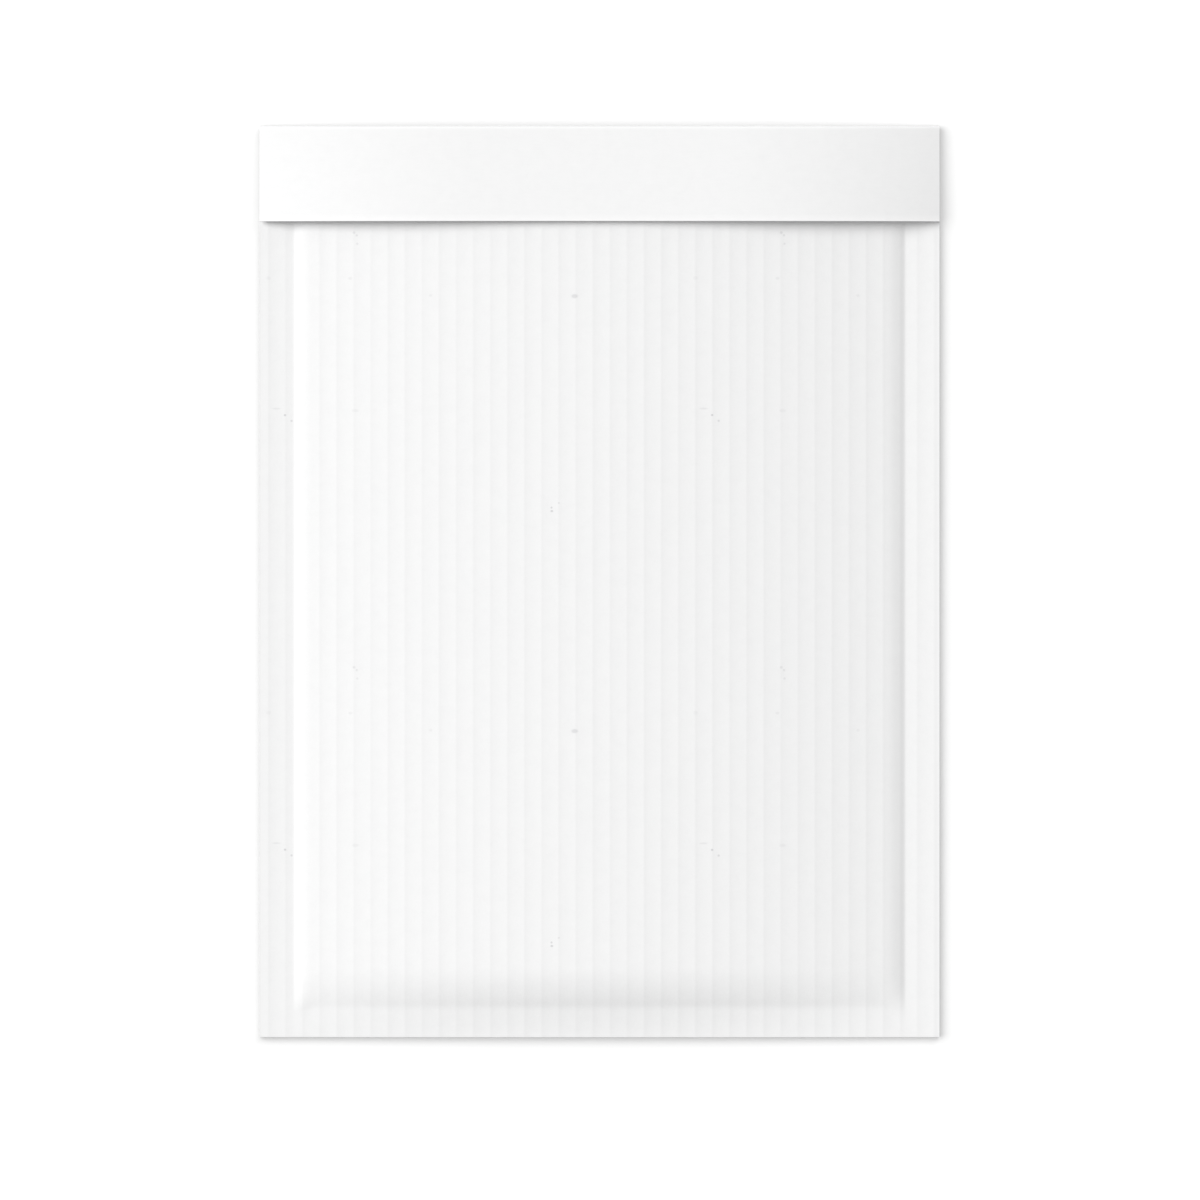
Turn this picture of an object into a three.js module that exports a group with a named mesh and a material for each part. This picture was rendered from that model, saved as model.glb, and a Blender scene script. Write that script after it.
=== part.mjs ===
// A padded envelope of ribbed white paper, closed, lying on its back.
//
// Millimetres. X runs across the ribs, +Y towards the closing flap, +Z up out of the front.
// The origin is under the middle of the envelope, on the surface that it lies on.
//
// The envelope is one web of lined paper, folded at the bottom and at the top, sealed along
// both sides and glued shut under the flap, so it is one solid. Its shape is a section in the
// YZ plane, worked out anew at each station and lofted across the width. The section runs up
// the back, round the top fold, down the flap to its cut edge, back under the flap to the glue
// line, down the padded front and round the bottom fold.

import * as THREE from 'three';

// Outline
const WIDTH = 250;
const LENGTH = 335;
const FLAP_DEPTH = 35;
const SIDE_SEAM = 12.7;
const BOTTOM_MARGIN = 11.3;

// Thickness
const SEAM_THICKNESS = 2.4;
const SEAM_LIFT = 0.8;
const CROWN_RISE = 6.2;
const SHOULDER_RISE = 0.93;
const SHOULDER_STRAIGHT = 2.5;
const SHOULDER_WIDTH = 6.8;
const PAPER = 0.5;

// Ribs of the fluted lining, which show through the paper
const RIBS = 40;
const RIB_PITCH = 6.278;
const FIRST_RIDGE = -121.75;
const RIB_SAG = 0.075;

// Bottom end: the padding runs out above a flat margin, which bows up a little at mid width
const BOTTOM_TAPER = 14.6;
const BOTTOM_TAPER_POWER = 2.15;
const CORNER_DROP = 3.2;
const CORNER_REACH = 9;
const CORNER_POWER = 1.5;
const BOTTOM_BOW = 3.2;
const BOTTOM_BOW_POWER = 1.1;
const BOW_REACH = 35;
const BOW_LEFT_AT_FOLD = 0.27;
const MARGIN_POWER = 1.3;

// Flap: flat over the middle, bending down to the side seams at both ends, and standing off the
// front by a gap at its free edge; it falls a little from there to the top fold
const FLAP_GAP_MIDDLE = 1.8;
const FLAP_GAP_END = 1.5;
const FLAP_FLAT_HALF = 43;
const FLAP_BEND_POWER = 2.35;
const FLAP_FALL = 2.6;
const FLAP_FALL_END = 1.4;
const GLUE_SETBACK = 12;

// Back: flat where it rests, curling up to the seams and the folds
const BACK_CURL_SIDE = 24;
const BACK_CURL_BOTTOM = 26;
const BACK_CURL_TOP = 35;

// Folds
const TOP_FOLD_REACH = 0.8;
const BOTTOM_FOLD_REACH = 0.4;
const FOLD_SQUARENESS = 0.75;
const TOP_FOLD_STEPS = 6;
const BOTTOM_FOLD_STEPS = 4;

const PAPER_WHITE = 0xf4f4f2;

// Places worked out from the sizes above
const HALF_WIDTH = WIDTH / 2;
const TOP = LENGTH / 2;
const BOTTOM = -LENGTH / 2;
const CREASE = HALF_WIDTH - SIDE_SEAM;
const FLAP_EDGE = TOP - FLAP_DEPTH;
const GLUE_LINE = FLAP_EDGE + GLUE_SETBACK;
const MARGIN_LINE = BOTTOM + BOTTOM_MARGIN;
const TAPER_START = MARGIN_LINE + BOTTOM_TAPER;
const SEAM_TOP = SEAM_LIFT + SEAM_THICKNESS;
const CROWN = CROWN_RISE + SHOULDER_RISE;

function clamp01(t) {
  return Math.min(1, Math.max(0, t));
}

function smooth(t) {
  const c = clamp01(t);
  return c * c * (3 - 2 * c);
}

function steps(from, to, count) {
  return Array.from({ length: count + 1 }, (_, i) => from + ((to - from) * i) / count);
}

// Place within one rib, from 0 on a rib's ridge to 1 on the next one
function ribPhase(x) {
  const t = (x - FIRST_RIDGE) / RIB_PITCH;
  return t - Math.floor(t);
}

// The paper sags in a shallow arc between two ridges
function frontSag(x) {
  const t = ribPhase(x);
  return RIB_SAG * 4 * t * (1 - t);
}

// The back rests on flat lands, with a shallow groove between them
function backGroove(x) {
  const t = ribPhase(x);
  return RIB_SAG * Math.max(0, 1 - 3 * Math.min(t, 1 - t));
}

// Height of the padding over the seams: a shallow arch with a steeper shoulder at each crease
function crown(x) {
  const inside = CREASE - Math.abs(x);
  if (inside <= 0) {
    return 0;
  }
  const arch = CROWN_RISE * (1 - (x / CREASE) ** 2);
  const easing = SHOULDER_WIDTH - SHOULDER_STRAIGHT;
  const eased = clamp01((inside - SHOULDER_STRAIGHT) / easing);
  const run = Math.min(inside, SHOULDER_STRAIGHT) + easing * (eased - eased ** 3 + 0.5 * eased ** 4);
  return arch + (SHOULDER_RISE * run) / (SHOULDER_STRAIGHT + 0.5 * easing);
}

// Share of the crown that is left: it runs out at the bottom margin, and later near the creases
function fullness(x, y) {
  const inside = clamp01((CREASE - Math.abs(x)) / CORNER_REACH);
  const later = CORNER_DROP * (1 - inside) ** CORNER_POWER;
  return 1 - clamp01((TAPER_START - later - y) / BOTTOM_TAPER) ** BOTTOM_TAPER_POWER;
}

// Top face of the flat margins, which meet under the padding
function marginTop(x, y) {
  const across = Math.max(0, 1 - (x / CREASE) ** 2) ** BOTTOM_BOW_POWER;
  const towardsMargin = smooth((MARGIN_LINE + BOW_REACH - y) / BOW_REACH);
  const past = 1 - (1 - clamp01((MARGIN_LINE - y) / BOTTOM_MARGIN)) ** MARGIN_POWER;
  const kept = 1 - (1 - BOW_LEFT_AT_FOLD) * past;
  return SEAM_TOP + BOTTOM_BOW * across * towardsMargin * kept;
}

function frontZ(x, y) {
  const margin = marginTop(x, y);
  return margin + (SEAM_TOP + crown(x) - margin) * fullness(x, y) - frontSag(x);
}

function backZ(x, y) {
  const side = smooth((Math.abs(x) - CREASE) / BACK_CURL_SIDE + 1);
  const bottom = smooth((MARGIN_LINE - y) / BACK_CURL_BOTTOM + 1);
  const top = smooth((y - TOP) / BACK_CURL_TOP + 1);
  const curl = 1 - (1 - side) * (1 - bottom) * (1 - top);
  return (marginTop(x, y) - SEAM_THICKNESS) * curl + backGroove(x);
}

function flapZ(x, y) {
  const end = SEAM_TOP + FLAP_GAP_END + PAPER;
  const middle = SEAM_TOP + CROWN + FLAP_GAP_MIDDLE + PAPER;
  const out = clamp01((Math.abs(x) - FLAP_FLAT_HALF) / (HALF_WIDTH - FLAP_FLAT_HALF));
  const bent = out ** FLAP_BEND_POWER;
  const fall = FLAP_FALL + (FLAP_FALL_END - FLAP_FALL) * bent;
  return middle - (middle - end) * bent - (fall * (y - FLAP_EDGE)) / FLAP_DEPTH;
}

// Height at which the front meets the underside of the flap, along the glue line
function glueZ(x) {
  return (frontZ(x, GLUE_LINE) + flapZ(x, GLUE_LINE) - PAPER) / 2;
}

// Points of a fold that turns from the height z0 to z1, standing out by reach from y
function fold(y, reach, z0, z1, count) {
  const middle = (z0 + z1) / 2;
  const half = (z1 - z0) / 2;
  const points = [];
  for (let i = 1; i < count; i += 1) {
    const angle = (Math.PI * i) / count - Math.PI / 2;
    const out = Math.cos(angle) ** FOLD_SQUARENESS;
    const up = Math.sign(angle) * Math.abs(Math.sin(angle)) ** FOLD_SQUARENESS;
    points.push([y + reach * out, middle + half * up]);
  }
  return points;
}

const topFoldLine = TOP - TOP_FOLD_REACH;
const bottomFoldLine = BOTTOM + BOTTOM_FOLD_REACH;

const backRows = [
  bottomFoldLine,
  ...steps(MARGIN_LINE, MARGIN_LINE + BACK_CURL_BOTTOM, 5),
  ...steps(TOP - BACK_CURL_TOP, topFoldLine, 4),
];
const flapRows = steps(topFoldLine, FLAP_EDGE, 2);
const frontRows = [
  FLAP_EDGE,
  MARGIN_LINE + BOW_REACH,
  ...steps(TAPER_START, MARGIN_LINE, 6),
  (MARGIN_LINE + bottomFoldLine) / 2,
  bottomFoldLine,
];

// The closed section at one station across the width, as [y, z] points
function section(x) {
  const bottomBack = backZ(x, bottomFoldLine);
  const bottomFront = frontZ(x, bottomFoldLine);
  const topBack = backZ(x, topFoldLine);
  const topFront = flapZ(x, topFoldLine);
  return [
    ...backRows.map((y) => [y, backZ(x, y)]),
    ...fold(topFoldLine, TOP_FOLD_REACH, topBack, topFront, TOP_FOLD_STEPS),
    ...flapRows.map((y) => [y, flapZ(x, y)]),
    [FLAP_EDGE, flapZ(x, FLAP_EDGE) - PAPER],
    [GLUE_LINE, glueZ(x)],
    ...frontRows.map((y) => [y, frontZ(x, y)]),
    ...fold(bottomFoldLine, -BOTTOM_FOLD_REACH, bottomFront, bottomBack, BOTTOM_FOLD_STEPS),
  ];
}

// Stations: each ridge and the two thirds between ridges, the cut edges and the creases
function stations() {
  const lines = [-HALF_WIDTH, -CREASE, CREASE, HALF_WIDTH];
  const found = [...lines];
  for (let third = -2; third <= RIBS * 3 - 2; third += 1) {
    const x = FIRST_RIDGE + (RIB_PITCH * third) / 3;
    const clear = lines.every((line) => Math.abs(x - line) > 0.5);
    if (Math.abs(x) < HALF_WIDTH && clear) {
      found.push(x);
    }
  }
  return found.sort((a, b) => a - b);
}

function envelopeGeometry() {
  const xs = stations();
  const sections = xs.map(section);
  const size = sections[0].length;
  const positions = [];
  xs.forEach((x, i) => {
    sections[i].forEach(([y, z]) => positions.push(x, y, z));
  });
  const faces = [];
  for (let i = 0; i < xs.length - 1; i += 1) {
    for (let j = 0; j < size; j += 1) {
      const next = (j + 1) % size;
      const a = i * size + j;
      const b = i * size + next;
      const c = (i + 1) * size + j;
      const d = (i + 1) * size + next;
      faces.push(a, b, c, b, d, c);
    }
  }
  // The cut side edges close the loft with the outline of its first and last section
  const outline = sections[0].map(([y, z]) => new THREE.Vector2(y, z));
  const last = (xs.length - 1) * size;
  for (const [p, q, r] of THREE.ShapeUtils.triangulateShape(outline, [])) {
    faces.push(p, r, q);
    faces.push(last + p, last + q, last + r);
  }
  const geometry = new THREE.BufferGeometry();
  geometry.setAttribute('position', new THREE.Float32BufferAttribute(positions, 3));
  geometry.setIndex(faces);
  geometry.computeVertexNormals();
  return geometry;
}

const paper = new THREE.MeshStandardMaterial({
  color: PAPER_WHITE,
  roughness: 0.85,
  metalness: 0,
});

const envelope = new THREE.Mesh(envelopeGeometry(), paper);
envelope.name = 'envelope';

const part = new THREE.Group();
part.add(envelope);

export default part;
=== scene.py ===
"""Looks of a padded envelope of ribbed white paper, closed and lying on its back.

Metres. X runs across the ribs, +Y towards the closing flap, +Z up out of the front. The envelope
is one web of lined paper: it is folded at the bottom and at the top, sealed along both sides and
glued shut under the flap. The pressed lining shows at the cut edges of the two side seams.
"""

import logging
import math
import random
from abc import ABC, abstractmethod
from dataclasses import dataclass, field
from enum import Enum
from typing import Any, Callable, Mapping, Sequence

import bpy
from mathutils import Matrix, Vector, noise

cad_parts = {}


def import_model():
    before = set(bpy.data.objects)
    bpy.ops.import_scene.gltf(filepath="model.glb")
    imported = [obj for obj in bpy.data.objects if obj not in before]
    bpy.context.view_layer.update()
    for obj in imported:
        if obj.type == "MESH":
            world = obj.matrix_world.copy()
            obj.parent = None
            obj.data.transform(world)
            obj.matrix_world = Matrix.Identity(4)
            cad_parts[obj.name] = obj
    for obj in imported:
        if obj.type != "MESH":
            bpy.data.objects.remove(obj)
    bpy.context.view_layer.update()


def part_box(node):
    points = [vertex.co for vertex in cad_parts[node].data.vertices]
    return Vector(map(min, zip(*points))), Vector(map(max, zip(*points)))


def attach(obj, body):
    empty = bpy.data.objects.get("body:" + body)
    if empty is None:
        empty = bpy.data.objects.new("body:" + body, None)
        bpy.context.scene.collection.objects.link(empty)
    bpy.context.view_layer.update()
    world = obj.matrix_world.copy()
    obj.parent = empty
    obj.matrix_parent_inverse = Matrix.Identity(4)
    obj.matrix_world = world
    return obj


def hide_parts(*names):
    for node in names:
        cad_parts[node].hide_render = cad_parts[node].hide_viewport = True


MM = 0.001
TINY = 0.01 * MM
NODE = "envelope"
BODY = "root"
VIEW_MIDDLE = (0.2 * MM, -6.75 * MM)

Colour = tuple[float, float, float]
WHITE = (1.0, 1.0, 1.0, 1.0)

# The numbers of the sockets of a colour Mix node, whose names it gives more than once
MIX_SHARE, MIX_START, MIX_END = 0, 6, 7
MIX_RESULT = 2

log = logging.getLogger("envelope")


# ---------------------------------------------------------------------------------------------
# Small sums
# ---------------------------------------------------------------------------------------------


def clamp(value: float) -> float:
    """Holds a value between 0 and 1."""
    return min(1.0, max(0.0, value))


def smooth(value: float) -> float:
    """Eases a value from 0 to 1 with no corner at either end."""
    held = clamp(value)
    return held * held * (3.0 - 2.0 * held)


def blend(start: float, end: float, share: float) -> float:
    """Goes from start to end as share goes from 0 to 1."""
    return start + (end - start) * share


def steps(start: float, end: float, count: int) -> list[float]:
    """Lists evenly spaced values.

    Args:
        start: The first value.
        end: The last value.
        count: How many steps lie between them.

    Returns:
        The values, both ends included.
    """
    return [blend(start, end, i / count) for i in range(count + 1)]


def drift(x: float, y: float, seed: float) -> float:
    """Reads a slow, smooth random field between about -1 and 1, the same on each run."""
    return noise.noise(Vector((x, y, seed)))


# ---------------------------------------------------------------------------------------------
# Modelling by operator
# ---------------------------------------------------------------------------------------------


def take(*pieces: bpy.types.Object) -> None:
    """Selects these objects and nothing else, and makes the first one active."""
    bpy.ops.object.select_all(action="DESELECT")
    for piece in pieces:
        piece.select_set(True)
    bpy.context.view_layer.objects.active = pieces[0]


def new_piece(add: Callable[..., Any], name: str, **settings: Any) -> bpy.types.Object:
    """Adds a primitive with nothing else selected.

    Args:
        add: The operator that adds it.
        name: The name of the new object.
        **settings: The operator's own settings.

    Returns:
        The new object.
    """
    bpy.ops.object.select_all(action="DESELECT")
    add(**settings)
    piece = bpy.context.object
    piece.name = name
    piece.data.name = name
    return piece


def finish_with(piece: bpy.types.Object, kind: str, **settings: Any) -> None:
    """Adds a modifier to a piece and applies it.

    Args:
        piece: The object that it changes.
        kind: The modifier's type.
        **settings: The modifier's own settings.
    """
    take(piece)
    modifier = piece.modifiers.new(kind.title(), kind)
    for name, value in settings.items():
        setattr(modifier, name, value)
    bpy.ops.object.modifier_apply(modifier=modifier.name)


def smooth_below(piece: bpy.types.Object, degrees: float) -> None:
    """Shades a piece smooth across every edge that turns by less than this angle."""
    take(piece)
    bpy.ops.object.shade_smooth_by_angle(angle=math.radians(degrees))


def select_edges(piece: bpy.types.Object, wanted: Callable[[Vector, Vector], bool]) -> None:
    """Goes into edit mode with some of a piece's edges selected.

    Args:
        piece: The object to edit.
        wanted: Says of an edge's two ends whether it is selected.
    """
    take(piece)
    bpy.ops.object.mode_set(mode="EDIT")
    bpy.ops.mesh.select_mode(type="EDGE")
    bpy.ops.mesh.select_all(action="DESELECT")
    bpy.ops.object.mode_set(mode="OBJECT")
    places = [vertex.co.copy() for vertex in piece.data.vertices]
    for edge in piece.data.edges:
        first, last = edge.vertices
        edge.select = wanted(places[first], places[last])
    bpy.ops.object.mode_set(mode="EDIT")


# ---------------------------------------------------------------------------------------------
# Shader sums
# ---------------------------------------------------------------------------------------------


@dataclass(frozen=True)
class Signal:
    """A shader socket that takes part in Python expressions."""

    graph: "Graph"
    socket: bpy.types.NodeSocket

    def _maths(self, operation: str, *terms: Any) -> "Signal":
        """Adds one Math node."""
        return self.graph.node("ShaderNodeMath", {"operation": operation}, dict(enumerate(terms)))

    def __add__(self, other: Any) -> "Signal":
        """self + other"""
        return self._maths("ADD", self, other)

    def __sub__(self, other: Any) -> "Signal":
        """self - other"""
        return self._maths("SUBTRACT", self, other)

    def __mul__(self, other: Any) -> "Signal":
        """self * other"""
        return self._maths("MULTIPLY", self, other)

    def above(self, limit: float) -> "Signal":
        """1 where the signal is over the limit, 0 elsewhere."""
        return self._maths("GREATER_THAN", self, limit)

    def at_least(self, other: Any) -> "Signal":
        """The larger of the two."""
        return self._maths("MAXIMUM", self, other)

    def wrapped(self, low: float, high: float) -> "Signal":
        """Brings the signal back to between low and high, as on tiles laid side by side."""
        return self._maths("WRAP", self, high, low)

    def eased(self, low: float, high: float) -> "Signal":
        """Goes smoothly from 0 to 1 as the signal goes from low to high."""
        settings = {"interpolation_type": "SMOOTHSTEP"}
        inputs = {"Value": self, "From Min": low, "From Max": high}
        return self.graph.node("ShaderNodeMapRange", settings, inputs, "Result")


class Graph:
    """The node tree of one material or of the world."""

    def __init__(self, owner: bpy.types.Material | bpy.types.World) -> None:
        """Clears the owner's tree.

        Args:
            owner: The material or world that the tree belongs to.
        """
        owner.use_nodes = True
        self.tree = owner.node_tree
        self.tree.nodes.clear()

    def node(
        self,
        kind: str,
        settings: Mapping[str, Any] | None = None,
        inputs: Mapping[int | str, Any] | None = None,
        output: int | str = 0,
    ) -> Signal:
        """Adds a node.

        Args:
            kind: The node's type.
            settings: Its own settings, such as an operation, which are set first.
            inputs: A value or a Signal for each socket, by its name or number.
            output: The socket that the result is read from.

        Returns:
            The chosen output.
        """
        made = self.tree.nodes.new(kind)
        for name, value in (settings or {}).items():
            setattr(made, name, value)
        for name, value in (inputs or {}).items():
            if isinstance(value, Signal):
                self.tree.links.new(value.socket, made.inputs[name])
            else:
                made.inputs[name].default_value = value
        return Signal(self, made.outputs[output])

    def out(self, kind: str, surface: Signal) -> None:
        """Links a shader to the tree's output.

        Args:
            kind: The output node's type.
            surface: The shader.
        """
        made = self.tree.nodes.new(kind)
        self.tree.links.new(surface.socket, made.inputs["Surface"])

    def place(self) -> Signal:
        """Reads where a point is on the piece, in metres."""
        return self.node("ShaderNodeTexCoord", output="Object")

    def stretched(self, place: Signal, factors: Sequence[float]) -> Signal:
        """Multiplies a place by a factor on each axis."""
        settings = {"operation": "MULTIPLY"}
        return self.node("ShaderNodeVectorMath", settings, {0: place, 1: tuple(factors)})

    def cloud(self, place: Signal, per_metre: float, detail: float = 2.0) -> Signal:
        """Adds a noise pattern, from about -0.5 to 0.5.

        Args:
            place: The coordinates that it is laid on.
            per_metre: How many blotches there are in a metre.
            detail: How many finer layers it has.

        Returns:
            The pattern.
        """
        inputs = {"Vector": place, "Scale": per_metre, "Detail": detail, "Roughness": 0.6}
        return self.node("ShaderNodeTexNoise", {}, inputs, "Fac") - 0.5

    def mixed(self, share: Signal, start: Signal | Colour, end: Colour) -> Signal:
        """Goes from one colour to another as share goes from 0 to 1."""
        first = start if isinstance(start, Signal) else (*start, 1.0)
        inputs = {MIX_SHARE: share, MIX_START: first, MIX_END: (*end, 1.0)}
        return self.node("ShaderNodeMix", {"data_type": "RGBA"}, inputs, MIX_RESULT)

    def bumped(self, height: Signal, distance: float, strength: float) -> Signal:
        """Turns the surface as if it had a relief.

        Args:
            height: The relief's pattern.
            distance: How high a step of 1 in the pattern is, in metres.
            strength: How much of the relief shows.

        Returns:
            The normal.
        """
        inputs = {"Strength": strength, "Distance": distance, "Height": height}
        return self.node("ShaderNodeBump", {}, inputs, "Normal")


# ---------------------------------------------------------------------------------------------
# Finishes
# ---------------------------------------------------------------------------------------------


@dataclass(frozen=True)
class Finish(ABC):
    """A look that pieces can be given."""

    name: str

    @abstractmethod
    def surface(self, graph: Graph) -> dict[str, Any]:
        """Draws the look.

        Args:
            graph: The material's tree.

        Returns:
            A value or a Signal for each socket of the surface shader that it sets.
        """

    def material(self) -> bpy.types.Material:
        """Finds the material, or makes it if it isn't there yet."""
        found = bpy.data.materials.get(self.name)
        if found:
            return found
        made = bpy.data.materials.new(self.name)
        graph = Graph(made)
        shader = graph.node("ShaderNodeBsdfPrincipled", {}, self.surface(graph))
        graph.out("ShaderNodeOutputMaterial", shader)
        return made


@dataclass(frozen=True)
class Fleck:
    """A small dark mark in the paper.

    Its middle is at (x, y), and wide and tall are its half sizes, all in millimetres. Depth says
    how dark it is. Core and rim are the shares of its size where it starts to fade and is gone.
    """

    x: float
    y: float
    wide: float
    tall: float
    depth: float
    core: float = 0.45
    rim: float = 1.25

    def mask(self, graph: Graph, place: Signal) -> Signal:
        """Draws the mark.

        Args:
            graph: The material's tree.
            place: The coordinates of the tile that it repeats on.

        Returns:
            Its depth in the middle, and 0 outside it.
        """
        middle = (self.x * MM, self.y * MM, 0.0)
        subtract = {"operation": "SUBTRACT"}
        offset = graph.node("ShaderNodeVectorMath", subtract, {0: place, 1: middle})
        sized = graph.stretched(offset, (1.0 / (self.wide * MM), 1.0 / (self.tall * MM), 0.0))
        distance = graph.node("ShaderNodeVectorMath", {"operation": "LENGTH"}, {0: sized}, "Value")
        return distance.eased(self.rim, self.core) * self.depth


@dataclass(frozen=True)
class FleckTile:
    """The marks that the paper drum leaves, which come back at each of its turns.

    Left and low are the tile's corner, and wide and tall its size. Only what lies higher than
    over is marked.
    """

    left: float = -125.0 * MM
    low: float = -100.0 * MM
    wide: float = 157.0 * MM
    tall: float = 159.75 * MM
    over: float = 2.0 * MM
    flecks: tuple[Fleck, ...] = (
        Fleck(-9.1, -54.9, 1.35, 0.85, 0.58),
        Fleck(-90.2, -31.5, 0.6, 0.55, 0.42),
        Fleck(-89.2, -32.5, 0.5, 0.5, 0.42),
        Fleck(-89.0, -35.6, 0.5, 0.5, 0.35),
        Fleck(-17.6, 27.2, 0.45, 0.45, 0.7),
        Fleck(-17.5, 25.9, 0.6, 0.45, 0.85),
        Fleck(-14.9, 28.9, 0.45, 0.4, 0.4),
        Fleck(-118.8, -96.15, 1.7, 0.4, 0.3),
        Fleck(-115.6, -98.55, 0.5, 0.45, 0.85),
        Fleck(-113.2, 59.1, 0.5, 0.5, 0.6),
        Fleck(-121.7, -48.2, 1.0, 0.8, 0.17),
        Fleck(-91.6, -48.3, 0.8, 0.6, 0.25),
        Fleck(-62.0, -54.6, 0.7, 0.6, 0.2),
        Fleck(-89.7, -96.9, 1.4, 0.7, 0.2),
    )

    def mask(self, graph: Graph, place: Signal) -> Signal:
        """Draws every mark on every tile.

        Args:
            graph: The material's tree.
            place: Where a point is on the piece.

        Returns:
            How dark the paper is there, from 0 to 1.
        """
        parts = [graph.node("ShaderNodeSeparateXYZ", {}, {0: place}, axis) for axis in "XYZ"]
        across = parts[0].wrapped(self.left, self.left + self.wide)
        along = parts[1].wrapped(self.low, self.low + self.tall)
        tiled = graph.node("ShaderNodeCombineXYZ", {}, {"X": across, "Y": along})
        total = self.flecks[0].mask(graph, tiled)
        for fleck in self.flecks[1:]:
            total = total.at_least(fleck.mask(graph, tiled))
        return total * parts[2].above(self.over)


@dataclass(frozen=True)
class PaperFinish(Finish):
    """White paper: cloudy fibre, a faint tooth, and marks if it has any.

    Thin places take thin_tone. Fibre stretches the strands' pattern along each axis.
    """

    tone: Colour = (0.800, 0.800, 0.800)
    thin_tone: Colour = (0.770, 0.770, 0.772)
    mark_tone: Colour = (0.56, 0.56, 0.57)
    roughness: float = 0.78
    roughness_swing: float = 0.10
    sheen_of_size: float = 0.30
    fibre: tuple[float, float, float] = (1.0, 1.0, 1.0)
    clouds_per_metre: float = 260.0
    strands_per_metre: float = 1700.0
    fineness: float = 3.0
    cloud_share: float = 0.9
    strand_share: float = 0.6
    thin_share: float = 0.35
    tooth: float = 0.010 * MM
    tooth_strength: float = 0.6
    tooth_clouds: float = 0.5
    marks: FleckTile | None = None

    def surface(self, graph: Graph) -> dict[str, Any]:
        """Draws the paper.

        Args:
            graph: The material's tree.

        Returns:
            What the surface shader's sockets are set to.
        """
        place = graph.place()
        fibres = graph.stretched(place, self.fibre)
        clouds = graph.cloud(place, self.clouds_per_metre, self.fineness)
        strands = graph.cloud(fibres, self.strands_per_metre, self.fineness)
        mixture = clouds * self.cloud_share + strands * self.strand_share + self.thin_share
        colour = graph.mixed(mixture.eased(0.0, 1.0), self.tone, self.thin_tone)
        if self.marks:
            colour = graph.mixed(self.marks.mask(graph, place), colour, self.mark_tone)
        relief = strands + clouds * self.tooth_clouds
        return {
            "Base Color": colour,
            "Roughness": clouds * self.roughness_swing + self.roughness,
            "Specular IOR Level": self.sheen_of_size,
            "Normal": graph.bumped(relief, self.tooth, self.tooth_strength),
        }


@dataclass(frozen=True)
class CutEdgeFinish(Finish):
    """The cut edge of lined paper: open fibre in flat fine layers, with painted shade between them.
    """

    # Both tones are darker than the paper: partly the edge's own open fibre, partly painted shade
    # for the gaps between the plies.
    tone: Colour = (0.74, 0.735, 0.72)
    gap_shade_tone: Colour = (0.48, 0.47, 0.45)
    roughness: float = 0.95
    sheen: float = 0.15
    layering: tuple[float, float, float] = (0.02, 0.02, 1.0)
    layers_per_metre: float = 5200.0
    fuzz_per_metre: float = 2600.0
    fuzz_fineness: float = 3.0
    layer_share: float = 0.9
    fuzz_share: float = 0.8
    gap_shade_share: float = 0.45
    tooth: float = 0.04 * MM
    tooth_strength: float = 0.5

    def surface(self, graph: Graph) -> dict[str, Any]:
        """Draws the edge.

        Args:
            graph: The material's tree.

        Returns:
            What the surface shader's sockets are set to.
        """
        place = graph.place()
        layers = graph.cloud(graph.stretched(place, self.layering), self.layers_per_metre)
        fuzz = graph.cloud(place, self.fuzz_per_metre, self.fuzz_fineness)
        mixture = layers * self.layer_share + fuzz * self.fuzz_share + self.gap_shade_share
        return {
            "Base Color": graph.mixed(mixture.eased(0.0, 1.0), self.tone, self.gap_shade_tone),
            "Roughness": self.roughness,
            "Specular IOR Level": self.sheen,
            "Normal": graph.bumped(layers + fuzz, self.tooth, self.tooth_strength),
        }


@dataclass(frozen=True)
class FloorFinish(Finish):
    """A white sweep that is lit from below as well, so that only close shadows show on it."""

    name: str = "white_sweep"
    tone: float = 0.15
    glow: float = 0.279

    def surface(self, graph: Graph) -> dict[str, Any]:
        """Draws the sweep.

        Args:
            graph: The material's tree, to which a plain surface adds nothing.

        Returns:
            What the surface shader's sockets are set to.
        """
        return {
            "Base Color": (self.tone, self.tone, self.tone, 1.0),
            "Roughness": 1.0,
            "Specular IOR Level": 0.0,
            "Emission Color": WHITE,
            "Emission Strength": self.glow,
        }


# ---------------------------------------------------------------------------------------------
# The envelope's form
# ---------------------------------------------------------------------------------------------


class Ply(Enum):
    """The three panels that the web is folded into."""

    FLAP = "flap"
    BACK = "back"
    FRONT = "front"


class Side(Enum):
    """The two sealed sides."""

    LEFT = -1
    RIGHT = 1


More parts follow.
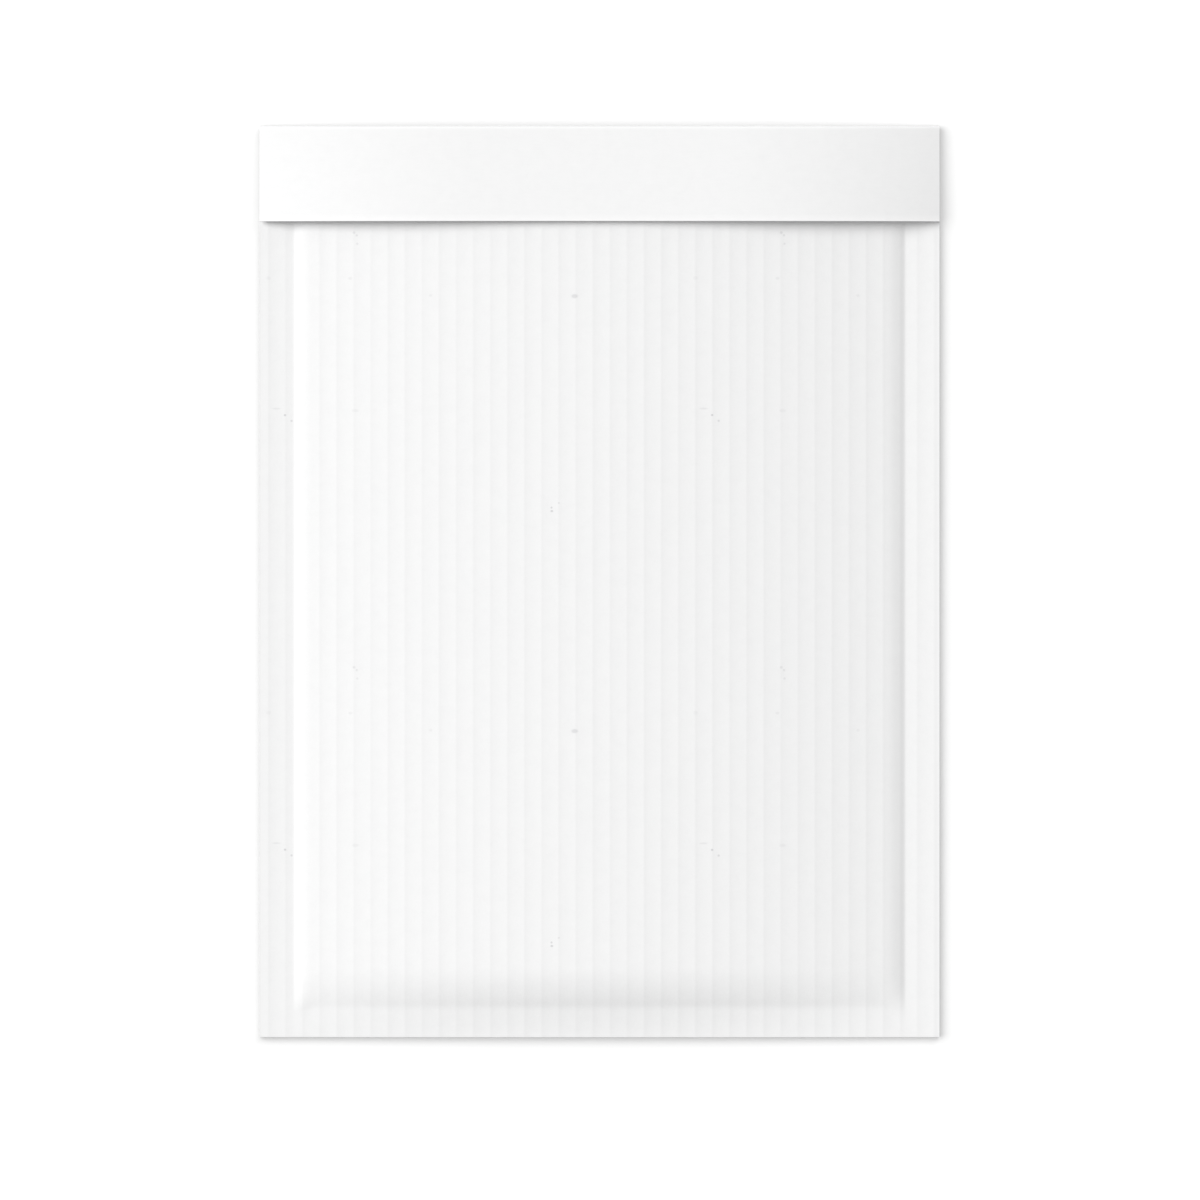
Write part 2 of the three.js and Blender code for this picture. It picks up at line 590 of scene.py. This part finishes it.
@dataclass(frozen=True)
class EnvelopeForm:
    """The heights of the envelope's faces over the surface that it lies on.

    Half width, top and bottom come from the frame, and the other sizes divide them up. Rib swing
    and ridge swing say how much the ribs differ from one another, slack how much the sag between
    two ribs drifts along them, and swell how uneven the padding is.
    """

    half_width: float
    top: float
    bottom: float
    flap_depth: float = 35.0 * MM
    side_seam: float = 12.7 * MM
    bottom_margin: float = 11.3 * MM
    seam_thickness: float = 2.4 * MM
    seam_lift: float = 0.8 * MM
    crown_rise: float = 6.2 * MM
    shoulder_rise: float = 0.93 * MM
    shoulder_straight: float = 2.5 * MM
    shoulder_width: float = 6.8 * MM
    flap_allowance: float = 0.5 * MM
    ribs: int = 40
    rib_pitch: float = 6.278 * MM
    first_ridge: float = -121.75 * MM
    rib_sag: float = 0.0755 * MM
    rib_lean: float = 0.82
    rib_swing: float = 0.12
    ridge_swing: float = 0.012 * MM
    rib_seed: int = 40
    slack: float = 0.6
    slack_width: float = 9.0 * MM
    slack_length: float = 45.0 * MM
    slack_seed: float = 3.7
    bottom_taper: float = 14.6 * MM
    bottom_taper_power: float = 2.15
    corner_drop: float = 3.2 * MM
    corner_reach: float = 9.0 * MM
    corner_power: float = 1.5
    bottom_bow: float = 3.2 * MM
    bottom_bow_power: float = 1.1
    bow_reach: float = 35.0 * MM
    bow_left_at_fold: float = 0.27
    margin_power: float = 1.3
    flap_gap_middle: float = 1.8 * MM
    flap_gap_end: float = 1.5 * MM
    flap_flat_half: float = 43.0 * MM
    flap_bend_power: float = 2.35
    flap_fall: float = 2.6 * MM
    flap_fall_end: float = 1.4 * MM
    glue_setback: float = 12.0 * MM
    back_curl_side: float = 24.0 * MM
    back_curl_bottom: float = 26.0 * MM
    back_curl_top: float = 35.0 * MM
    top_fold_reach: float = 0.8 * MM
    bottom_fold_reach: float = 0.10 * MM
    cut_lip: float = 0.025 * MM
    cut_lip_width: float = 0.5 * MM
    fold_squareness: float = 0.75
    swell: float = 0.05 * MM
    swell_length: float = 70.0 * MM
    swell_seed: float = 11.3
    rib_draws: tuple[float, ...] = field(init=False)
    ridge_draws: tuple[float, ...] = field(init=False)

    def __post_init__(self) -> None:
        """Draws how much each rib differs from the others."""
        draw = random.Random(self.rib_seed)
        spaces = self.ribs + 2
        object.__setattr__(self, "rib_draws", tuple(draw.uniform(-1, 1) for _ in range(spaces)))
        object.__setattr__(self, "ridge_draws", tuple(draw.uniform(-1, 1) for _ in range(spaces)))

    @classmethod
    def in_box(cls, low: Vector, high: Vector) -> "EnvelopeForm":
        """Fits the form to a box.

        Args:
            low: The box's lowest corner.
            high: The box's highest corner.

        Returns:
            The form.
        """
        return cls(half_width=high.x, top=high.y, bottom=low.y)

    @property
    def crease(self) -> float:
        """How far the side creases lie from the middle."""
        return self.half_width - self.side_seam

    @property
    def flap_edge(self) -> float:
        """Where the flap's free edge lies."""
        return self.top - self.flap_depth

    @property
    def glue_line(self) -> float:
        """Where the flap first touches the front."""
        return self.flap_edge + self.glue_setback

    @property
    def margin_line(self) -> float:
        """Where the padding ends above the bottom fold."""
        return self.bottom + self.bottom_margin

    @property
    def taper_start(self) -> float:
        """Where the padding starts to run out towards the margin."""
        return self.margin_line + self.bottom_taper

    @property
    def top_fold_line(self) -> float:
        """Where the top fold starts to turn."""
        return self.top - self.top_fold_reach

    @property
    def bottom_fold_line(self) -> float:
        """Where the bottom fold starts to turn."""
        return self.bottom + self.bottom_fold_reach

    @property
    def seam_top(self) -> float:
        """The height of the side seams' upper face."""
        return self.seam_lift + self.seam_thickness

    @property
    def full_crown(self) -> float:
        """How far the padding rises over the seams at most."""
        return self.crown_rise + self.shoulder_rise

    def rib_at(self, x: float) -> tuple[int, float]:
        """Finds the space between two ribs that holds a place.

        Args:
            x: The place across the ribs.

        Returns:
            The number of the space, and how far across it the place is, from 0 to 1.
        """
        across = (x - self.first_ridge) / self.rib_pitch + 1.0
        number = math.floor(across)
        return number, across - number

    def front_relief(self, x: float, y: float) -> float:
        """Gives the paper's height between the ribs: sharp ridges with a shallow sag between.

        Args:
            x: The place across the ribs.
            y: The place along them.

        Returns:
            The height to add, mostly below 0.
        """
        number, share = self.rib_at(x)
        slow = drift(x / self.slack_width, y / self.slack_length, self.slack_seed)
        strength = 1.0 + self.rib_swing * (self.rib_draws[number] + self.slack * slow)
        leaned = share**self.rib_lean
        sag = self.rib_sag * strength * 4.0 * leaned * (1.0 - leaned)
        following = min(number + 1, self.ribs + 1)
        ridge = blend(self.ridge_draws[number], self.ridge_draws[following], share)
        lip = self.cut_lip * smooth(1.0 - (self.half_width - abs(x)) / self.cut_lip_width)
        return self.ridge_swing * ridge - sag + lip

    def back_relief(self, x: float) -> float:
        """Gives the back's height: flat lands with a shallow groove between two of them."""
        share = self.rib_at(x)[1]
        return self.rib_sag * max(0.0, 1.0 - 3.0 * min(share, 1.0 - share))

    def crown(self, x: float) -> float:
        """Gives how far the padding rises over the seams: an arch with steeper shoulders."""
        inside = self.crease - abs(x)
        if inside <= 0.0:
            return 0.0
        arch = self.crown_rise * (1.0 - (x / self.crease) ** 2)
        easing = self.shoulder_width - self.shoulder_straight
        eased = clamp((inside - self.shoulder_straight) / easing)
        run = min(inside, self.shoulder_straight) + easing * (eased - eased**3 + 0.5 * eased**4)
        return arch + self.shoulder_rise * run / (self.shoulder_straight + 0.5 * easing)

    def fullness(self, x: float, y: float) -> float:
        """Gives the share of the crown that is left: it runs out at the bottom margin.

        Args:
            x: The place across the ribs. Near the side creases, the padding runs out later.
            y: The place along them.

        Returns:
            The share, from 0 to 1.
        """
        inside = clamp((self.crease - abs(x)) / self.corner_reach)
        later = self.corner_drop * (1.0 - inside) ** self.corner_power
        run_out = clamp((self.taper_start - later - y) / self.bottom_taper)
        return 1.0 - run_out**self.bottom_taper_power

    def margin(self, x: float, y: float) -> float:
        """Gives the height of the flat margins' upper face, which meet under the padding."""
        across = max(0.0, 1.0 - (x / self.crease) ** 2) ** self.bottom_bow_power
        near = smooth((self.margin_line + self.bow_reach - y) / self.bow_reach)
        past = 1.0 - (1.0 - clamp((self.margin_line - y) / self.bottom_margin)) ** self.margin_power
        kept = blend(1.0, self.bow_left_at_fold, past)
        return self.seam_top + self.bottom_bow * across * near * kept

    def swelling(self, x: float, y: float) -> float:
        """Gives the slow unevenness of the padding."""
        rough = drift(x / self.swell_length, y / self.swell_length, self.swell_seed)
        return self.swell * rough * smooth(self.crown(x) / self.full_crown)

    def front(self, x: float, y: float) -> float:
        """Gives the height of the front, as far up as the flap's free edge."""
        margin = self.margin(x, y)
        full = self.seam_top + self.crown(x) + self.swelling(x, y)
        return blend(margin, full, self.fullness(x, y)) + self.front_relief(x, y)

    def back(self, x: float, y: float) -> float:
        """Gives the height of the back: flat where it rests, curling up to seams and folds."""
        side = smooth((abs(x) - self.crease) / self.back_curl_side + 1.0)
        bottom = smooth((self.margin_line - y) / self.back_curl_bottom + 1.0)
        top = smooth((y - self.top) / self.back_curl_top + 1.0)
        curl = 1.0 - (1.0 - side) * (1.0 - bottom) * (1.0 - top)
        return (self.margin(x, y) - self.seam_thickness) * curl + self.back_relief(x)

    def flap(self, x: float, y: float) -> float:
        """Gives the height of the flap: flat over the middle, bending down to both seams."""
        end = self.seam_top + self.flap_gap_end + self.flap_allowance
        middle = self.seam_top + self.full_crown + self.flap_gap_middle + self.flap_allowance
        out = clamp((abs(x) - self.flap_flat_half) / (self.half_width - self.flap_flat_half))
        bent = out**self.flap_bend_power
        fall = blend(self.flap_fall, self.flap_fall_end, bent)
        return blend(middle, end, bent) - fall * (y - self.flap_edge) / self.flap_depth


# ---------------------------------------------------------------------------------------------
# The paper web
# ---------------------------------------------------------------------------------------------


@dataclass(frozen=True)
class Station:
    """One line across the web: the panel that it is on, and where it lies at each x."""

    ply: Ply
    place: Callable[[float], tuple[float, float]]


@dataclass
class PaperWeb:
    """The one sheet of lined paper, from the flap's free edge round both folds to its hidden end.

    Contact is the gap left where the front is glued to the flap. Flap press and flap wave say how
    far the flap lies under its plain form. Rib places are the columns within one rib.
    """

    form: EnvelopeForm
    thickness: float = 0.4 * MM
    contact: float = 0.03 * MM
    hidden_end: float = 1.0 * MM
    lip: float = 0.18 * MM
    lip_width: float = 0.5 * MM
    flap_press: float = 0.05 * MM
    flap_wave: float = 0.05 * MM
    flap_wave_length: float = 38.0 * MM
    flap_wave_seed: float = 5.1
    fillet: float = 0.6 * MM
    edge_insets: tuple[float, ...] = (0.0, 0.25 * MM, 0.55 * MM)
    edge_clear: float = 0.7 * MM
    crease_turn: float = 0.45 * MM
    rib_places: tuple[float, ...] = (0.0, 0.06, 0.16, 0.29, 0.44, 0.60, 0.77, 0.93)
    top_fold_steps: int = 9
    bottom_fold_steps: int = 3
    sharp_from: float = 40.0

    def columns(self) -> list[float]:
        """Lists the places across the web: eight to a rib, both cut edges and both creases."""
        form = self.form
        half = form.half_width
        turn = self.crease_turn
        outs = (-1.5 * turn, -0.5 * turn, 0.5 * turn, 1.5 * turn)
        creases = [side * (form.crease + out) for side in (-1, 1) for out in outs]
        edges = [side * (half - inside) for side in (-1, 1) for inside in self.edge_insets]
        found = [*edges, *creases]
        for rib in range(-1, form.ribs):
            for share in self.rib_places:
                x = form.first_ridge + form.rib_pitch * (rib + share)
                near_crease = abs(abs(x) - form.crease) < 2.0 * turn
                if abs(x) < half - self.edge_clear and not near_crease:
                    found.append(x)
        return sorted(found)

    def flap_at(self, x: float, y: float) -> float:
        """Gives the flap's upper face, with the lip that cutting leaves on its free edge."""
        form = self.form
        lip = self.lip * smooth(1.0 - (y - form.flap_edge) / self.lip_width)
        loose = smooth(1.0 - (y - form.flap_edge) / form.glue_setback)
        wave = self.flap_wave * loose * drift(x / self.flap_wave_length, 0.0, self.flap_wave_seed)
        return form.flap(x, y) - self.flap_press - abs(wave) + lip

    def front_at(self, x: float, y: float) -> float:
        """Gives the front's upper face, which rises under the flap to the flap's glued face."""
        form = self.form
        height = form.front(x, y)
        if y <= form.flap_edge:
            return height
        glued = self.flap_at(x, y) - self.thickness - self.contact
        return blend(height, glued, smooth((y - form.flap_edge) / form.glue_setback))

    def height_on(self, ply: Ply) -> Callable[[float, float], float]:
        """Says what gives the height of the web's upper face on one panel."""
        heights = {Ply.FLAP: self.flap_at, Ply.BACK: self.form.back, Ply.FRONT: self.front_at}
        return heights[ply]

    def flat_stations(self, ply: Ply, rows: Sequence[float]) -> list[Station]:
        """Lists the lines across one panel.

        Args:
            ply: The panel.
            rows: Where they lie along Y, in their order along the web.

        Returns:
            The stations.
        """
        height = self.height_on(ply)
        return [Station(ply, lambda x, y=y: (y, height(x, y))) for y in rows]

    def fold_stations(
        self, first: Ply, last: Ply, line: float, reach: float, count: int
    ) -> list[Station]:
        """Lists the lines round a fold.

        Args:
            first: The panel that the web comes from.
            last: The panel that it goes on to.
            line: Where the fold starts to turn.
            reach: How far it stands out from that line, with its sign.
            count: How many steps it turns in.

        Returns:
            The stations between the two panels.
        """
        height_before = self.height_on(first)
        height_after = self.height_on(last)
        squareness = self.form.fold_squareness

        def turned(angle: float) -> Callable[[float], tuple[float, float]]:
            """Fixes one step of the turn."""
            y = line + reach * math.cos(angle) ** squareness
            share = 0.5 + 0.5 * math.copysign(abs(math.sin(angle)) ** squareness, angle)
            return lambda x: (y, blend(height_before(x, line), height_after(x, line), share))

        angles = [math.pi * i / count - 0.5 * math.pi for i in range(1, count)]
        plies = [first if angle < 0.0 else last for angle in angles]
        return [Station(ply, turned(angle)) for ply, angle in zip(plies, angles)]

    def stations(self) -> list[Station]:
        """Lists every line across the web, from the flap's free edge to the hidden end."""
        form = self.form
        edge = form.flap_edge
        flap_rows = [
            edge,
            edge + 0.35 * self.lip_width,
            edge + self.lip_width,
            *steps(edge + 5.0 * self.lip_width, form.top_fold_line - 2.0 * self.lip_width, 8),
            form.top_fold_line,
        ]
        back_top = form.top - form.back_curl_top
        back_low = form.margin_line + form.back_curl_bottom
        back_rows = [
            *steps(form.top_fold_line, back_top, 6),
            *steps(back_top, back_low, 12)[1:],
            *steps(back_low, form.margin_line, 6)[1:],
            *steps(form.margin_line, form.bottom_fold_line, 3)[1:],
        ]
        line = form.margin_line
        fillet = self.fillet
        front_rows = [
            form.bottom_fold_line,
            *steps(form.bottom_fold_line + fillet, line - 3.0 * fillet, 5),
            line - fillet,
            line + fillet,
            *steps(line + 3.0 * fillet, form.taper_start, 8),
            *steps(form.taper_start, line + form.bow_reach, 3)[1:],
            *steps(line + form.bow_reach, edge, 32)[1:],
            *steps(edge, form.glue_line, 5)[1:],
            *steps(form.glue_line, form.top - self.hidden_end, 4)[1:],
        ]
        top_fold = (form.top_fold_line, form.top_fold_reach, self.top_fold_steps)
        bottom_fold = (form.bottom_fold_line, -form.bottom_fold_reach, self.bottom_fold_steps)
        return [
            *self.flat_stations(Ply.FLAP, flap_rows),
            *self.fold_stations(Ply.FLAP, Ply.BACK, *top_fold),
            *self.flat_stations(Ply.BACK, back_rows),
            *self.fold_stations(Ply.BACK, Ply.FRONT, *bottom_fold),
            *self.flat_stations(Ply.FRONT, front_rows),
        ]

    def build(self) -> bpy.types.Object:
        """Lays a grid out as the flat web, folds it, and gives it the paper's thickness."""
        columns = self.columns()
        stations = self.stations()
        across = len(columns) - 1
        along = len(stations) - 1
        piece = new_piece(
            bpy.ops.mesh.primitive_grid_add,
            "paper_web",
            x_subdivisions=across,
            y_subdivisions=along,
            size=1.0,
        )
        panel_of: dict[int, Ply] = {}
        for vertex in piece.data.vertices:
            column = round((vertex.co.x + 0.5) * across)
            row = round((vertex.co.y + 0.5) * along)
            x = columns[column]
            vertex.co = (x, *stations[row].place(x))
            panel_of[vertex.index] = stations[row].ply
        for face in piece.data.polygons:
            panels = {panel_of[index] for index in face.vertices}
            face.material_index = 1 if panels == {Ply.FLAP} else 0
        finish_with(
            piece,
            "SOLIDIFY",
            thickness=self.thickness,
            offset=-1.0,
            use_rim=True,
            material_offset=2,
            material_offset_rim=4,
        )
        smooth_below(piece, self.sharp_from)
        return piece

    def dress(self, piece: bpy.types.Object) -> None:
        """Gives the web its paper: the outer face, then the inner face, then the cut edges.

        Each of the three has a slot for the back and the front, and one for the flap.

        Args:
            piece: The web.
        """
        ribbed = PaperFinish("ribbed_white_paper", marks=FleckTile())
        plain = PaperFinish(
            "plain_white_paper",
            thin_tone=(0.771, 0.771, 0.773),
            fibre=(0.12, 1.0, 1.0),
            tooth=0.006 * MM,
        )
        # Painted shade: the inner face takes a dark tone so that the hollow under the flap lies
        # deeper in shade.
        inner = PaperFinish(
            "shade_darkened_inner_paper",
            tone=(0.50, 0.49, 0.465),
            thin_tone=(0.44, 0.43, 0.405),
        )
        edge = CutEdgeFinish("cut_paper_edge")
        for finish in (ribbed, plain, inner, inner, edge, edge):
            piece.data.materials.append(finish.material())

    def fit(self, piece: bpy.types.Object) -> None:
        """Ties the web to the frame.

        Args:
            piece: The web.
        """
        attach(piece, BODY)
        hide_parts(NODE)


# ---------------------------------------------------------------------------------------------
# The side seams
# ---------------------------------------------------------------------------------------------


@dataclass
class SideSeam:
    """The lining pressed between front and back along one side, as its cut edge shows it.

    Filled is the share of its height that a ply takes up. Setback, wander and fray say how far
    the plies' cut edges lie inside the web's, evenly, slowly varying and finely varying.
    """

    form: EnvelopeForm
    web: PaperWeb
    side: Side
    plies: int = 4
    depth: float = 9.0 * MM
    filled: float = 0.86
    setback: float = 0.10 * MM
    wander: float = 0.14 * MM
    wander_length: float = 14.0 * MM
    wander_seed: tuple[float, float] = (7.3, 2.0)
    fray: float = 0.03 * MM
    fray_length: float = 2.1 * MM
    fray_seed: tuple[float, float] = (3.1, 5.0)
    clearance: float = 0.12 * MM
    cuts: int = 13
    rounds_of_cuts: int = 2
    rounding: float = 0.05 * MM
    sharp_from: float = 50.0

    @property
    def name(self) -> str:
        """The piece's name."""
        return f"side_seam_{self.side.name.lower()}"

    def one_ply(self) -> bpy.types.Object:
        """Models one flat ply: a thin slab, cut along its length, with soft cut edges."""
        length = self.form.top - self.form.bottom
        height = self.form.seam_thickness / self.plies
        outer = 0.5 * self.depth * self.side.value

        def lengthwise(start: Vector, end: Vector) -> bool:
            """Picks the edges along the ply."""
            return abs(start.y - end.y) > TINY

        def along_the_cut(start: Vector, end: Vector) -> bool:
            """Picks the two rows of edges that bound the ply's outer, cut face."""
            outside = abs(start.x - outer) < TINY and abs(end.x - outer) < TINY
            return outside and abs(start.z - end.z) < TINY and lengthwise(start, end)

        ply = new_piece(bpy.ops.mesh.primitive_cube_add, self.name, size=1.0)
        bpy.ops.object.mode_set(mode="EDIT")
        bpy.ops.mesh.select_all(action="SELECT")
        bpy.ops.transform.resize(value=(self.depth, length, height))
        bpy.ops.object.mode_set(mode="OBJECT")
        for _ in range(self.rounds_of_cuts):
            select_edges(ply, lengthwise)
            bpy.ops.mesh.subdivide(number_cuts=self.cuts)
            bpy.ops.object.mode_set(mode="OBJECT")
        select_edges(ply, along_the_cut)
        bpy.ops.mesh.bevel(offset=self.rounding, segments=2, affect="EDGES")
        bpy.ops.object.mode_set(mode="OBJECT")
        return ply

    def settle(self, ply: bpy.types.Object, number: int) -> None:
        """Moves one ply to its place in the seam.

        Args:
            ply: The flat ply.
            number: Its place in the stack, from 0 at the bottom.
        """
        form = self.form
        side = self.side.value
        low_end = form.bottom_fold_line + self.web.thickness
        high_end = form.top - self.web.thickness - 2.0 * self.clearance
        flat_length = form.top - form.bottom
        flat_height = form.seam_thickness / self.plies
        wander_ply, wander_side = self.wander_seed
        fray_ply, fray_side = self.fray_seed
        for vertex in ply.data.vertices:
            inwards = 0.5 * self.depth - vertex.co.x * side
            y = blend(low_end, high_end, vertex.co.y / flat_length + 0.5)
            uneven = drift(y / self.wander_length, wander_ply * number, wander_side * side)
            rough = drift(y / self.fray_length, fray_ply * number, fray_side * side)
            back_off = self.setback + self.wander * (0.5 + 0.5 * uneven) + self.fray * rough
            x = side * (form.half_width - back_off - inwards)
            floor = form.back(x, y) + self.web.thickness + self.clearance
            ceiling = self.web.front_at(x, y) - self.web.thickness - self.clearance
            share = (number + 0.5 + self.filled * vertex.co.z / flat_height) / self.plies
            vertex.co = (x, y, blend(floor, ceiling, share))

    def build(self) -> bpy.types.Object:
        """Models one ply, copies it up the stack, and joins the stack."""
        first = self.one_ply()
        stack = [first]
        for _ in range(1, self.plies):
            copy = first.copy()
            copy.data = first.data.copy()
            bpy.context.collection.objects.link(copy)
            stack.append(copy)
        for number, ply in enumerate(stack):
            self.settle(ply, number)
        take(*stack)
        bpy.ops.object.join()
        smooth_below(first, self.sharp_from)
        return first

    def dress(self, piece: bpy.types.Object) -> None:
        """Gives the seam its cut edge.

        Args:
            piece: The seam.
        """
        # The pressed lining's edge is darker than the paper: partly its own open fibre, partly
        # painted shade between its pressed plies.
        finish = CutEdgeFinish(
            "pressed_lining_edge",
            tone=(0.66, 0.65, 0.625),
            layers_per_metre=9000.0,
        )
        piece.data.materials.clear()
        piece.data.materials.append(finish.material())

    def fit(self, piece: bpy.types.Object) -> None:
        """Ties the seam to the frame.

        Args:
            piece: The seam.
        """
        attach(piece, BODY)


# ---------------------------------------------------------------------------------------------
# The studio
# ---------------------------------------------------------------------------------------------


@dataclass(frozen=True)
class Sun:
    """A broad, distant light that lights either the sweep alone or all but the sweep.

    Azimuth says how far round from -X towards +Y it stands, elevation how high it stands, and
    spread how wide it looks from the envelope, all in degrees. Strength says how bright it is.
    """

    name: str
    azimuth: float
    elevation: float
    spread: float
    strength: float
    linking: str = "INCLUDE"
    distance: float = 2.0

    def add(self, sweep: bpy.types.Object) -> None:
        """Adds the light to the scene.

        Args:
            sweep: The floor, which the light is linked to or kept from.
        """
        around = math.radians(self.azimuth)
        up = math.radians(self.elevation)
        level = math.cos(up)
        towards = Vector((-level * math.cos(around), level * math.sin(around), math.sin(up)))
        turn = towards.to_track_quat("Z", "Y").to_euler()
        bpy.ops.object.select_all(action="DESELECT")
        bpy.ops.object.light_add(type="SUN", location=self.distance * towards, rotation=turn)
        light = bpy.context.object
        light.name = self.name
        light.data.energy = self.strength
        light.data.angle = math.radians(self.spread)
        lit = bpy.data.collections.new(f"lit_by_{self.name}")
        lit.objects.link(sweep)
        lit.collection_objects[0].light_linking.link_state = self.linking
        light.light_linking.receiver_collection = lit


@dataclass
class Studio:
    """A white sweep, soft light from all round, a key light from the upper left, and the camera.

    The sweep has three lights of its own, so that it stays white up to the close shadows.
    """

    look_at: Vector
    frame_width: float = 441.2 * MM
    lens: float = 600.0
    sensor: float = 36.0
    sight: float = 200.0
    floor_size: float = 60.0
    dome_strength: float = 0.514
    wall_strength: float = 1.0
    suns: tuple[Sun, ...] = (
        Sun("key_light", 28.0, 42.0, 38.0, 2.95, linking="EXCLUDE"),
        Sun("sweep_light", 18.6, 52.5, 59.0, 11.33),
        Sun("sweep_fill", 118.2, 48.8, 42.5, 4.5),
        Sun("sweep_rim", -90.0, 79.5, 18.0, 2.0),
    )

    def build_floor(self) -> bpy.types.Object:
        """Lays the sweep that the envelope lies on."""
        floor = new_piece(bpy.ops.mesh.primitive_plane_add, "sweep", size=self.floor_size)
        floor.data.materials.append(FloorFinish().material())
        return floor

    def build_dome(self) -> None:
        """Lights everything evenly from all round, in front of a white wall."""
        world = bpy.data.worlds.new("studio_dome")
        bpy.context.scene.world = world
        graph = Graph(world)
        dome = self.backdrop(graph, self.dome_strength)
        wall = self.backdrop(graph, self.wall_strength)
        seen = graph.node("ShaderNodeLightPath", output="Is Camera Ray")
        mixed = graph.node("ShaderNodeMixShader", {}, {0: seen, 1: dome, 2: wall})
        graph.out("ShaderNodeOutputWorld", mixed)

    @staticmethod
    def backdrop(graph: Graph, strength: float) -> Signal:
        """Adds an even white backdrop.

        Args:
            graph: The world's tree.
            strength: How bright it is.

        Returns:
            Its shader.
        """
        return graph.node("ShaderNodeBackground", {}, {"Color": WHITE, "Strength": strength})

    def build_camera(self) -> None:
        """Hangs the camera straight over the envelope, with +Y up in the view."""
        height = self.frame_width * self.lens / self.sensor
        place = self.look_at + Vector((0.0, 0.0, height))
        bpy.ops.object.select_all(action="DESELECT")
        bpy.ops.object.camera_add(location=place, rotation=(0.0, 0.0, 0.0))
        camera = bpy.context.object
        camera.name = "overhead_camera"
        camera.data.lens = self.lens
        camera.data.sensor_width = self.sensor
        camera.data.clip_end = self.sight
        bpy.context.scene.camera = camera

    def build(self) -> None:
        """Sets up the whole studio."""
        floor = self.build_floor()
        self.build_dome()
        for sun in self.suns:
            sun.add(floor)
        self.build_camera()
        bpy.context.scene.view_settings.view_transform = "Standard"


# ---------------------------------------------------------------------------------------------
# The whole scene
# ---------------------------------------------------------------------------------------------


def main() -> None:
    """Builds the envelope on its frame, and the studio round it."""
    logging.basicConfig(level=logging.INFO, format="%(name)s: %(message)s")
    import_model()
    form = EnvelopeForm.in_box(*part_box(NODE))
    web = PaperWeb(form)
    parts: list[PaperWeb | SideSeam] = [web, *(SideSeam(form, web, side) for side in Side)]
    for part in parts:
        piece = part.build()
        part.dress(piece)
        part.fit(piece)
        log.info("%s: %d faces", piece.name, len(piece.data.polygons))
    look_at = Vector((*VIEW_MIDDLE, form.seam_top))
    Studio(look_at).build()
    log.info("studio built")


if __name__ == "__main__":
    main()
